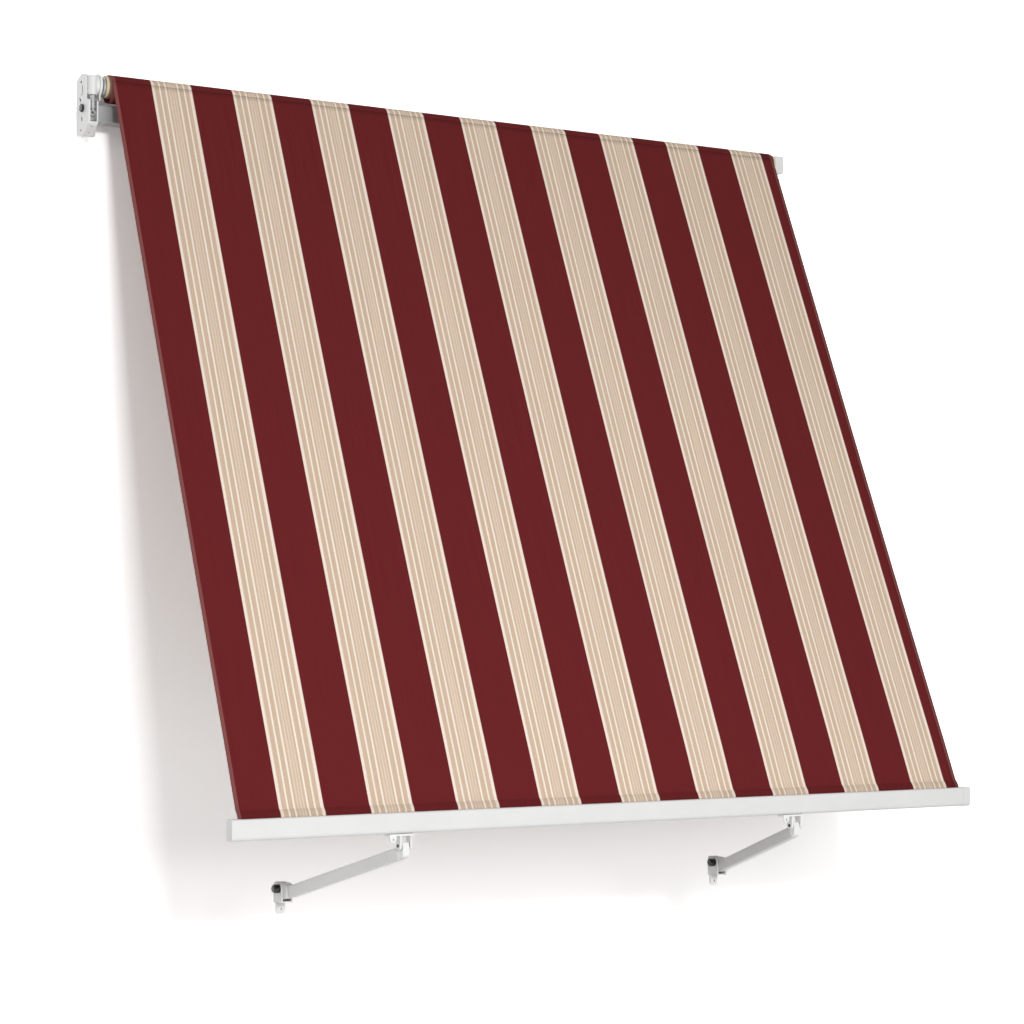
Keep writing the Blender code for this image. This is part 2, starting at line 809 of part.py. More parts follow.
outer_loop, inner_loop, channel_radius = tube_outline()
roller_tube = extruded(
    "roller_tube", [outer_loop, inner_loop], TUBE_LEFT, TUBE_RIGHT, STEEL, roller_axis
)
rod(
    "roller_welt",
    (FABRIC_LEFT, channel_radius, 0),
    (FABRIC_RIGHT, channel_radius, 0),
    WELT_RADIUS,
    CREAM,
    roller_axis,
    sides=12,
)


def roller_cap(name, side, tube_end):
    """Collar on the tube's end and plug inside it, with room for the groove's channel."""
    plug_radius = TUBE_RADIUS - TUBE_WALL - GAP
    inner = tube_end - side * CAP_PLUG
    seat = tube_end + side * GAP
    outer = seat + side * CAP_COLLAR
    profile = (
        (inner, 0.0),
        (inner, plug_radius),
        (seat, plug_radius),
        (seat, TUBE_RADIUS),
        (outer - side * 0.001, TUBE_RADIUS),
        (outer, TUBE_RADIUS - 0.001),
        (outer, 0.0),
    )
    cap = turned(name, profile, CREAM, roller_axis, 40)
    notch_start = (inner - side * 0.01, channel_radius, 0)
    notch_end = (seat, channel_radius, 0)
    notch_radius = GROOVE_RADIUS + TUBE_WALL + GAP
    carve(cap, rod(name + "_notch", notch_start, notch_end, notch_radius, parent=roller_axis))
    return cap, outer


left_cap, left_cap_face = roller_cap("roller_left_cap", -1, TUBE_LEFT)
socket_half = SOCKET_SIDE / 2 + FIT
carve(
    left_cap,
    box(
        "cap_socket",
        (left_cap_face - 0.01, -socket_half, -socket_half),
        (TUBE_LEFT + 0.012 + FIT, socket_half, socket_half),
        parent=roller_axis,
    ),
)
right_cap, right_cap_face = roller_cap("roller_right_cap", 1, TUBE_RIGHT)
bearing_left = BEARING_FACE - BEARING_WIDTH
pin_end = BEARING_FACE - PLATE_THICKNESS - 0.001
fuse(
    right_cap,
    rod(
        "roller_pin",
        (right_cap_face - 0.002, 0, 0),
        (pin_end, 0, 0),
        PIN_RADIUS,
        parent=roller_axis,
    ),
)
turned(
    "right_bush",
    ring_profile(
        bearing_left - 0.001,
        BEARING_FACE - PLATE_THICKNESS - GAP,
        PIN_RADIUS + FIT,
        PIN_RADIUS + FIT + BUSH_WALL,
    ),
    BLACK,
    roller_axis,
)


def fabric_roll():
    """The turns left on the tube: a ring whose end faces step from turn to turn."""
    inner = TUBE_RADIUS + GAP
    turns = 2
    step = ROLL_THICKNESS / turns
    edges = stripe_edges()
    profile = []
    for turn in range(turns):
        profile.append((FABRIC_LEFT - 0.0004 * turn, inner + step * turn))
        profile.append((FABRIC_LEFT - 0.0004 * turn, inner + step * (turn + 1)))
    for x in edges[1:-1]:
        profile.append((x, inner + ROLL_THICKNESS))
    for turn in reversed(range(turns)):
        profile.append((FABRIC_RIGHT + 0.0004 * turn, inner + step * (turn + 1)))
        profile.append((FABRIC_RIGHT + 0.0004 * turn, inner + step * turn))
    roll = turned("fabric_roll", profile, RED, roller_axis, 36)
    roll.data.materials.clear()
    colour_stripes(roll.data)


fabric_roll()

# the fabric's line in the side view: it leaves the roll at a tangent and ends in the front bar
down = Vector((-math.sin(FABRIC_SLOPE), -math.cos(FABRIC_SLOPE)))
normal = Vector((-math.cos(FABRIC_SLOPE), math.sin(FABRIC_SLOPE)))
KINK_ABOVE_BAR = 0.012
WELT_BELOW_TOP = 0.0051


def fabric_line():
    """Points (y, z) from the tangent point to the slot of the front bar, about the roller's axis."""
    tangent = normal * SHEET_RADIUS
    slot_top = Vector((-FRONT_BAR_OUT + ROLLER_OUT, FRONT_BAR_TOP))
    kink_z = slot_top.y + KINK_ABOVE_BAR
    kink = tangent + down * ((tangent.y - kink_z) / -down.y)
    end = slot_top - Vector((0.0, WELT_BELOW_TOP - WELT_RADIUS - 0.0006))
    return [tangent, kink, slot_top + Vector((0.0, 0.0008)), end]


def fabric():
    line = fabric_line()
    edges = stripe_edges()

    def build(shape):
        verts = [shape.verts.new((edges[0], y, z)) for y, z in line]
        row = [shape.edges.new(pair) for pair in zip(verts, verts[1:])]
        for left, right in zip(edges, edges[1:]):
            grown = bmesh.ops.extrude_edge_only(shape, edges=row)["geom"]
            moved = [item for item in grown if isinstance(item, bmesh.types.BMVert)]
            row = [item for item in grown if isinstance(item, bmesh.types.BMEdge)]
            row = [edge for edge in row if all(vert in moved for vert in edge.verts)]
            bmesh.ops.translate(shape, vec=(right - left, 0, 0), verts=moved)

    mesh = mesh_from(build, "fabric")
    colour_stripes(mesh)
    sheet = add("fabric", mesh, RED, fabric_axis)
    wall = sheet.modifiers.new("thickness", "SOLIDIFY")
    wall.thickness = FABRIC_THICKNESS
    wall.offset = 0.0


fabric_axis = empty("fabric_axis", ROLLER_AXIS)
fabric()


crank_axis = empty("crank_axis", (WHEEL_X, -WORM_OUT, 0.0))


def crank_shaft():
    """Worm, neck with two rings, and the eye that takes the crank's hook."""
    pitch = 2 * math.pi * WHEEL_PITCH_RADIUS / WHEEL_TEETH
    root = WORM_PITCH_RADIUS - TOOTH_HEIGHT / 2
    tip = WORM_PITCH_RADIUS + TOOTH_HEIGHT / 2
    top = HOUSING_RADIUS * 0.82 - HOUSING_WALL - FIT
    shaft = rod("crank_shaft", (0, 0, -CRANK_DOWN), (0, 0, top), root, GREY, crank_axis, sides=24)
    per_turn = 24
    turns = 2.5
    count = int(per_turn * turns)

    def build(shape):
        rings = []
        for index in range(count + 1):
            angle = 2 * math.pi * index / per_turn
            middle = pitch * (index / per_turn - turns / 2) + pitch / 2
            ring = []
            for radius, share in ((root - 0.0006, -0.25), (tip, -0.12), (tip, 0.12), (root - 0.0006, 0.25)):
                place = (radius * math.cos(angle), radius * math.sin(angle), middle + share * pitch)
                ring.append(shape.verts.new(place))
            rings.append(ring)
        for before, after in zip(rings, rings[1:]):
            for index in range(4):
                nearby = (index + 1) % 4
                shape.faces.new((before[index], before[nearby], after[nearby], after[index]))
        shape.faces.new(rings[0])
        shape.faces.new(rings[-1])

    thread = add("worm_thread", mesh_from(build, "worm_thread"), parent=crank_axis)
    neck_top = -HOUSING_RADIUS * 1.12 - GAP * 3
    neck_bottom = -CRANK_DOWN + 0.004
    neck = rod("crank_neck", (0, 0, neck_top), (0, 0, neck_bottom), CRANK_RADIUS * 0.86, parent=crank_axis)
    rings = [
        rod(f"neck_ring_{index}", (0, 0, z), (0, 0, z - 0.0035), CRANK_RADIUS, parent=crank_axis)
        for index, z in enumerate((neck_top - 0.002, neck_top - 0.009, neck_bottom + 0.006))
    ]

    def eye(shape):
        steps = 24
        start = shape.verts.new((EYE_RADIUS + EYE_WIRE, 0, 0))
        section = [start]
        for index in range(1, 10):
            angle = 2 * math.pi * index / 10
            place = (EYE_RADIUS + EYE_WIRE * math.cos(angle), EYE_WIRE * math.sin(angle), 0)
            section.append(shape.verts.new(place))
        edges = [shape.edges.new(pair) for pair in zip(section, section[1:] + section[:1])]
        bmesh.ops.spin(
            shape,
            geom=section + edges,
            axis=(0, 1, 0),
            cent=(0, 0, 0),
            angle=2 * math.pi,
            steps=steps,
            use_merge=True,
        )
        bmesh.ops.remove_doubles(shape, verts=shape.verts, dist=0.000001)
        shift = (0, 0, -CRANK_DOWN - EYE_RADIUS)
        bmesh.ops.translate(shape, vec=shift, verts=shape.verts)

    ring = add("crank_eye", mesh_from(eye, "crank_eye"), parent=crank_axis)
    fuse(shaft, thread, neck, *rings, ring)


crank_shaft()

fork_place = (LEFT_FORK, -FRONT_BAR_OUT, FORK_DOWN)
bar_pivot = empty("bar_pivot", fork_place)


def bar_loop(grow=0.0, steps=5):
    """Outline of the front bar in the side view about its pivot, without the groove."""
    half = FRONT_BAR_DEPTH / 2 + grow
    bottom = FORK_PIVOT_DROP - grow
    top = FORK_PIVOT_DROP + FRONT_BAR_HEIGHT + grow
    return (
        (-half, bottom, 0.009 + grow),
        (half, bottom, 0.006 + grow),
        (half, top, 0.004 + grow),
        (-half, top, 0.004 + grow),
    )


def front_bar():
    """Extruded profile with the welt groove on top and a hollow below it."""
    x_left = FRONT_BAR_LEFT - LEFT_FORK
    x_right = FRONT_BAR_RIGHT - LEFT_FORK
    bar = extruded("front_bar", [rounded(bar_loop())], x_left, x_right, WHITE, bar_pivot)
    top = FORK_PIVOT_DROP + FRONT_BAR_HEIGHT
    half = FRONT_BAR_DEPTH / 2 - FRONT_BAR_WALL
    shelf = top - WELT_BELOW_TOP - GROOVE_RADIUS - FRONT_BAR_WALL
    hollow = (
        (-half, FORK_PIVOT_DROP + FRONT_BAR_WALL, 0.007),
        (half, FORK_PIVOT_DROP + FRONT_BAR_WALL, 0.004),
        (half, shelf, 0.002),
        (-half, shelf, 0.002),
    )
    reach = (x_left - 0.01, x_right + 0.01)
    carve(bar, extruded("bar_hollow", [rounded(hollow)], *reach, parent=bar_pivot))
    channel = circle(0.0, top - WELT_BELOW_TOP, GROOVE_RADIUS, 16)
    carve(bar, extruded("bar_channel", [channel], *reach, parent=bar_pivot))
    mouth = GROOVE_MOUTH / 2
    low, high = (x_left - 0.01, -mouth, top - WELT_BELOW_TOP), (x_right + 0.01, mouth, top + 0.01)
    carve(bar, box("bar_mouth", low, high, parent=bar_pivot))
    rod(
        "hem_welt",
        (FABRIC_LEFT + 0.004 - LEFT_FORK, 0, top - WELT_BELOW_TOP),
        (FABRIC_RIGHT - 0.002 - LEFT_FORK, 0, top - WELT_BELOW_TOP),
        WELT_RADIUS,
        CREAM,
        bar_pivot,
        sides=12,
    )
    return x_left, x_right, shelf, half


bar_left, bar_right, bar_shelf, bar_half = front_bar()


def end_cap(word, side, bar_end):
    """Outer cap a little proud of the bar, its plug in the hollow, and its screw."""
    start = bar_end + side * GAP
    end = bar_end + side * END_CAP_LENGTH
    x_pair = sorted((start, end))
    cap = extruded(
        f"front_bar_{word}_cap", [rounded(bar_loop(END_CAP_PROUD))], *x_pair, WHITE, bar_pivot
    )
    half = bar_half - GAP
    plug = (
        (-half, FORK_PIVOT_DROP + FRONT_BAR_WALL + GAP, 0.007),
        (half, FORK_PIVOT_DROP + FRONT_BAR_WALL + GAP, 0.004),
        (half, bar_shelf - GAP, 0.002),
        (-half, bar_shelf - GAP, 0.002),
    )
    plug_pair = sorted((start + side * 0.004, bar_end - side * 0.022))
    fuse(cap, extruded(f"{word}_cap_plug", [rounded(plug)], *plug_pair, parent=bar_pivot))
    y, z = -0.006, FORK_PIVOT_DROP + 0.0085
    hole_start, hole_end = (end + side * 0.01, y, z), (end - side * 0.012, y, z)
    hole_radius = CAP_SCREW_RADIUS + FIT
    carve(cap, rod(f"{word}_cap_hole", hole_start, hole_end, hole_radius, parent=bar_pivot, sides=14))
    rod(
        f"{word}_cap_screw",
        (end - side * 0.0115, y, z),
        (end - side * 0.0006, y, z),
        CAP_SCREW_RADIUS,
        STEEL,
        bar_pivot,
        sides=14,
    )


end_cap("left", -1, bar_left)
end_cap("right", 1, bar_right)


def cap_mouth():
    """The fabric reaches a little over the left cap, which has a slot for it."""
    top = FORK_PIVOT_DROP + FRONT_BAR_HEIGHT
    low = (FABRIC_LEFT - GAP * 2 - LEFT_FORK, -GROOVE_MOUTH / 2, top - 0.007)
    high = (bar_left + 0.01, GROOVE_MOUTH / 2, top + 0.01)
    carve(bpy.data.objects["front_bar_left_cap"], box("cap_mouth", low, high, parent=bar_pivot))


cap_mouth()


def fork(word, x):
    """Saddle under the front bar with two cheeks for the pin and a tab with a hole."""
    centre = x - LEFT_FORK
    top = FORK_PIVOT_DROP - GAP
    under = top - SADDLE_THICKNESS
    half = SADDLE_DEPTH / 2
    left = centre - SADDLE_LEFT
    saddle = box(
        word + "_fork", (left, -half, under), (centre + SADDLE_RIGHT, half, top), WHITE, bar_pivot
    )
    radius = 0.0088
    cheek_shape = (
        (-half * 0.9, under + 0.002, 0.0),
        (half * 0.9, under + 0.002, 0.0),
        (radius, -radius, radius * 0.9),
        (-radius, -radius, radius * 0.9),
    )
    for side in (-1, 1):
        near = centre + side * FORK_INNER / 2
        pair = sorted((near, near + side * CHEEK_THICKNESS))
        fuse(saddle, extruded(f"{word}_cheek_{side}", [rounded(cheek_shape)], *pair, parent=bar_pivot))
    tab_shape = (
        (left, top - 0.001, 0.0),
        (left + TAB_WIDTH, top - 0.001, 0.0),
        (left + TAB_WIDTH, top - TAB_DROP, 0.0072),
        (left, top - TAB_DROP, 0.0072),
    )
    tab = extruded(word + "_tab", [rounded(tab_shape)], half - 0.003, half, parent=bar_pivot, frame=ALONG_Y)
    fuse(saddle, tab)
    tab_x, tab_z = left + TAB_WIDTH / 2, top - TAB_DROP + 0.006
    tab_start, tab_end = (tab_x, -half - 0.01, tab_z), (tab_x, 0.0, tab_z)
    carve(saddle, rod(word + "_tab_hole", tab_start, tab_end, 0.0022, parent=bar_pivot, sides=14))
    pin_start = (centre - SADDLE_RIGHT, 0, 0)
    pin_end = (centre + SADDLE_RIGHT, 0, 0)
    carve(saddle, rod(word + "_pin_hole", pin_start, pin_end, OUTER_PIN_RADIUS + FIT, parent=bar_pivot))
    reach = FORK_INNER / 2 + CHEEK_THICKNESS
    pin = rod(
        word + "_fork_pin",
        (centre - reach - 0.0015, 0, 0),
        (centre + reach + 0.001, 0, 0),
        OUTER_PIN_RADIUS,
        BLACK,
        bar_pivot,
        sides=20,
    )
    head = rod(
        word + "_pin_head",
        (centre + reach + GAP, 0, 0),
        (centre + reach + 0.002, 0, 0),
        OUTER_PIN_RADIUS * 1.5,
        parent=bar_pivot,
        sides=20,
    )
    fuse(pin, head)
    for index, offset in enumerate((-0.018, 0.0)):
        screw_x = centre + offset
        hole_top, hole_under = (screw_x, 0, top + 0.01), (screw_x, 0, under - 0.01)
        screw_hole = FORK_SCREW_RADIUS + FIT
        carve(
            saddle,
            rod(f"{word}_screw_hole_{index}", hole_top, hole_under, screw_hole, parent=bar_pivot, sides=14),
        )
        carve(
            bpy.data.objects["front_bar"],
            rod(
                f"{word}_bar_hole_{index}",
                (screw_x, 0, top - 0.005),
                (screw_x, 0, top + 0.006),
                screw_hole,
                parent=bar_pivot,
                sides=14,
            ),
        )
        screw = rod(
            f"{word}_fork_screw_{index + 1}",
            (screw_x, 0, under - GAP),
            (screw_x, 0, under - GAP - 0.0018),
            0.0040,
            STEEL,
            bar_pivot,
            0.0030,
            16,
        )
        shank = rod(
            f"{word}_fork_shank_{index}",
            (screw_x, 0, under - GAP - 0.0005),
            (screw_x, 0, top + 0.006),
            FORK_SCREW_RADIUS,
            parent=bar_pivot,
            sides=14,
        )
        fuse(screw, shank)


fork("left", LEFT_FORK)
fork("right", RIGHT_FORK)


def arm(word, side, fork_x):
    """Hollow beam between two end castings, about the pivot on the wall bracket."""
    pivot = empty(word + "_arm_pivot", (fork_x + side * ARM_SPLAY, -ARM_PIVOT_OUT, -ARM_PIVOT_DOWN))
    outer = Vector((-side * ARM_SPLAY, ARM_PIVOT_OUT - FRONT_BAR_OUT, FORK_DOWN + ARM_PIVOT_DOWN))
    flat = Vector((0.0, outer.y, outer.z))
    ahead = flat.normalized()
    rise = Vector((0.0, -ahead.z, ahead.y)) * -1
    along = outer.normalized()
    across = rise.cross(along)
    frame = Matrix((across, rise, along)).transposed().to_4x4()
    frame.translation = rise * -ARM_DROP

    def section(shrink, radius):
        a, b = ARM_WIDTH / 2 - shrink, ARM_HEIGHT / 2 - shrink
        return rounded(((-a, -b, radius), (a, -b, radius), (a, b, radius), (-a, b, radius)), 3)

    start = ARM_INNER_END
    end = outer.length - ARM_OUTER_END
    loops = [section(0.0, ARM_CORNER), section(ARM_WALL, ARM_CORNER / 2)]
    extruded(word + "_arm_beam", loops, start, end, WHITE, pivot, frame)

    def casting(name, origin, outline, width, insert):
        """An outline in the arm's side plane, as wide as the eye, with its insert in the beam."""
        side_frame = Matrix((ahead, rise, ahead.cross(rise))).transposed().to_4x4()
        side_frame.translation = origin
        piece = extruded(name, [rounded(outline)], -width / 2, width / 2, WHITE, pivot, side_frame)
        loop = section(ARM_WALL + GAP, ARM_CORNER / 2)
        fuse(piece, extruded(name + "_insert", [loop], *insert, parent=pivot, frame=frame))
        return piece

    inner_outline = (
        (-0.009, 0.008, 0.0075),
        (0.012, 0.008, 0.004),
        (ARM_INNER_END - 0.003, -0.001, 0.0),
        (ARM_INNER_END - 0.003, -ARM_HEIGHT + 0.001, 0.0),
        (0.006, -ARM_HEIGHT + 0.001, 0.006),
        (-0.009, -0.012, 0.008),
    )
    inner = casting(
        word + "_arm_inner_end",
        Vector((0, 0, 0)),
        inner_outline,
        CASTING_WIDTH,
        (ARM_INNER_END - 0.012, ARM_INNER_END + INSERT_LENGTH),
    )
    bolt_hole = INNER_BOLT_RADIUS + FIT
    carve(inner, rod(word + "_inner_hole", (-0.03, 0, 0), (0.03, 0, 0), bolt_hole, parent=pivot))
    outer_outline = (
        (-ARM_OUTER_END + 0.002, -0.001, 0.0),
        (-0.010, -0.001, 0.0),
        (-0.0072, 0.0072, 0.005),
        (0.0072, 0.0072, 0.005),
        (0.0080, -0.008, 0.006),
        (0.0010, -ARM_HEIGHT + 0.001, 0.009),
        (-ARM_OUTER_END + 0.002, -ARM_HEIGHT + 0.001, 0.0),
    )
    nose = casting(
        word + "_arm_outer_end",
        outer,
        outer_outline,
        NOSE_WIDTH,
        (end - INSERT_LENGTH, end + 0.007),
    )
    pin_hole = OUTER_PIN_RADIUS + FIT
    hole_start, hole_end = outer - Vector((0.03, 0, 0)), outer + Vector((0.03, 0, 0))
    carve(nose, rod(word + "_outer_hole", hole_start, hole_end, pin_hole, parent=pivot))


arm("left", -1, LEFT_FORK)
arm("right", 1, RIGHT_FORK)


def wall_bracket(word, x):
    """Base plate with a tab at each end, two cheeks, a floor under the arm, its bolt and knob."""
    axis = empty(word + "_bracket_axis", (x, -ARM_PIVOT_OUT, -ARM_PIVOT_DOWN))
    half = BASE_WIDTH / 2
    plate_outline = (
        (-TAB_HALF, -0.057, 0.009),
        (TAB_HALF, -0.057, 0.009),
        (TAB_HALF, -0.035, 0.002),
        (half, -0.032, 0.004),
        (half, 0.0125, 0.006),
        (-half, 0.0125, 0.006),
        (-half, -0.032, 0.004),
        (-TAB_HALF, -0.035, 0.002),
    )
    base = extruded(
        word + "_wall_bracket",
        [rounded(plate_outline)],
        -BASE_BEHIND,
        BASE_THICKNESS - BASE_BEHIND,
        WHITE,
        axis,
        ALONG_Y,
    )
    behind = BASE_BEHIND - BASE_THICKNESS / 2
    cheek_outline = (
        (behind, 0.011, 0.0),
        (-0.011, 0.011, 0.009),
        (-0.013, -0.0305, 0.003),
        (behind, -0.0305, 0.0),
    )
    inner = CASTING_WIDTH / 2 + 0.0008
    reach = inner + CHEEK_THICKNESS
    for side in (-1, 1):
        pair = sorted((side * inner, side * reach))
        cheek = extruded(f"{word}_wall_cheek_{side}", [rounded(cheek_outline)], *pair, parent=axis)
        fuse(base, cheek)
    floor_low = (0.001 - reach, -0.0115, -0.0300)
    floor_high = (reach - 0.001, behind - 0.0003, -0.0272)
    fuse(base, box(word + "_wall_floor", floor_low, floor_high, parent=axis))
    bolt_hole = INNER_BOLT_RADIUS + FIT
    carve(base, rod(word + "_bolt_hole", (-0.03, 0, 0), (0.03, 0, 0), bolt_hole, parent=axis))
    for index, rise in enumerate((-0.046, 0.003)):
        start, end = (0, -0.01, rise), (0, 0.04, rise)
        hole = rod(f"{word}_base_hole_{index}", start, end, BASE_SCREW_RADIUS, parent=axis, sides=16)
        carve(base, hole)
    shank_length = 2 * reach + 0.009
    hexagon_bolt(
        word + "_pivot_bolt", reach, 1, 0, 0, INNER_BOLT_RADIUS, shank_length, 0.0075, parent=axis
    )
    right = -reach - GAP
    left = right - KNOB_LENGTH
    profile = (
        (left, 0.0),
        (right, 0.0),
        (right, KNOB_RADIUS),
        (left + 0.003, KNOB_RADIUS),
        (left, KNOB_RADIUS - 0.0025),
    )
    knob = turned(word + "_knob", profile, BLACK, axis)
    end, start = (right + 0.01, 0, 0), (right - 0.010, 0, 0)
    carve(knob, rod(word + "_knob_socket", start, end, bolt_hole, parent=axis))


wall_bracket("left", LEFT_FORK - ARM_SPLAY)
wall_bracket("right", RIGHT_FORK + ARM_SPLAY)
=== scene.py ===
import math

import bmesh
import bpy
from mathutils import Matrix, Vector


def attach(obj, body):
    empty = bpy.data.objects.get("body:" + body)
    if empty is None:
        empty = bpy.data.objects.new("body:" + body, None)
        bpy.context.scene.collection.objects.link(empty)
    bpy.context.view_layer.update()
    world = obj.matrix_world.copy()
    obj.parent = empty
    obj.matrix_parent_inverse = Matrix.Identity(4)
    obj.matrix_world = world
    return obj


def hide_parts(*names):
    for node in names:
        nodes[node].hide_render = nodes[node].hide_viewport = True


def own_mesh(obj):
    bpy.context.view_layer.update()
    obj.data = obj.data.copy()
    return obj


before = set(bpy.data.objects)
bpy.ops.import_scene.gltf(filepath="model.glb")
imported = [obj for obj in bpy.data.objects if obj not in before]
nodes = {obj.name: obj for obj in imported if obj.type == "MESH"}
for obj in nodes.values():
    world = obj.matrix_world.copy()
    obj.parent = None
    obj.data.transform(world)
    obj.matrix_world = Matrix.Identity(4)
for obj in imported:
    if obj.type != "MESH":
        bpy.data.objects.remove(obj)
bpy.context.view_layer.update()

scene = bpy.context.scene
print("frame loaded:", len(nodes), "CAD nodes")


def hexColour(text, alpha=1.0):
    channels = [int(text[i:i + 2], 16) / 255 for i in (1, 3, 5)]
    linear = [c / 12.92 if c <= 0.04045 else ((c + 0.055) / 1.055) ** 2.4 for c in channels]
    return (*linear, alpha)


def addNode(tree, kind, inputs=None, **settings):
    # inputs go by name or number; a socket is linked and anything else is the value
    made = tree.nodes.new(kind)
    for name, value in settings.items():
        setattr(made, name, value)
    for key, value in (inputs or {}).items():
        if isinstance(value, bpy.types.NodeSocket):
            tree.links.new(value, made.inputs[key])
        else:
            made.inputs[key].default_value = value
    return made


def newMaterial(name):
    made = bpy.data.materials.new(name)
    made.use_nodes = True
    made.node_tree.nodes.clear()
    return made, made.node_tree


def setRamp(node, stops):
    ramp = node.color_ramp
    while len(ramp.elements) > 1:
        ramp.elements.remove(ramp.elements[-1])
    ramp.elements[0].position, ramp.elements[0].color = stops[0]
    for position, colour in stops[1:]:
        ramp.elements.new(position).color = colour


def finishedMesh(name, bm):
    mesh = bpy.data.meshes.new(name)
    bm.to_mesh(mesh)
    bm.free()
    made = bpy.data.objects.new(name, mesh)
    scene.collection.objects.link(made)
    return made


# spun acrylic awning canvas, plain weave, dyed in the yarn: matt, each thread slightly off
fabricStripes = {
    "pitch": 0.200,
    "firstStripe": 0.128,  # X of the first beige edge
    "share": 0.494,  # part of the pitch that is beige
    "burgundy": "#6A2426",
    # painted highlight colour for the side hems' edges
    "burgundyHemHighlight": "#96605D",
    "rollEnd": "#8C6A58",
    "tan": "#D2B9A2",
    "sand": "#E6D3C0",
    "cream": "#F8ECDD",
    "edge": "#F6E6D8",
    "left": 0.0348,
    "right": 1.8628,
    "hemWidth": 0.0075,
    "hemLength": 0.0215,
    "length": 1.757,
}


def stripeStops():
    tan, sand, cream, edge = (hexColour(fabricStripes[key]) for key in ("tan", "sand", "cream", "edge"))
    burgundy = hexColour(fabricStripes["burgundy"])
    share = fabricStripes["share"]
    stops = [(0.000, burgundy), (0.010, edge), (0.060, edge), (0.085, tan)]
    creamLines = ((0.200, 0.013), (0.345, 0.015), (0.650, 0.014), (0.805, 0.013))
    for number, (middle, half) in enumerate(creamLines):
        if number == 2:
            # three faint threads of a paler yarn between the inner lines
            for thread in (0.430, 0.500, 0.565):
                stops += [(thread - 0.028, tan), (thread, sand)]
            stops.append((0.593, tan))
        stops += [(middle - half - 0.012, tan), (middle - half, cream)]
        stops += [(middle + half, cream), (middle + half + 0.012, tan)]
    stops += [(0.910, tan), (0.935, edge), (0.990, edge), (1.000, burgundy)]
    return [(position * share, colour) for position, colour in stops]


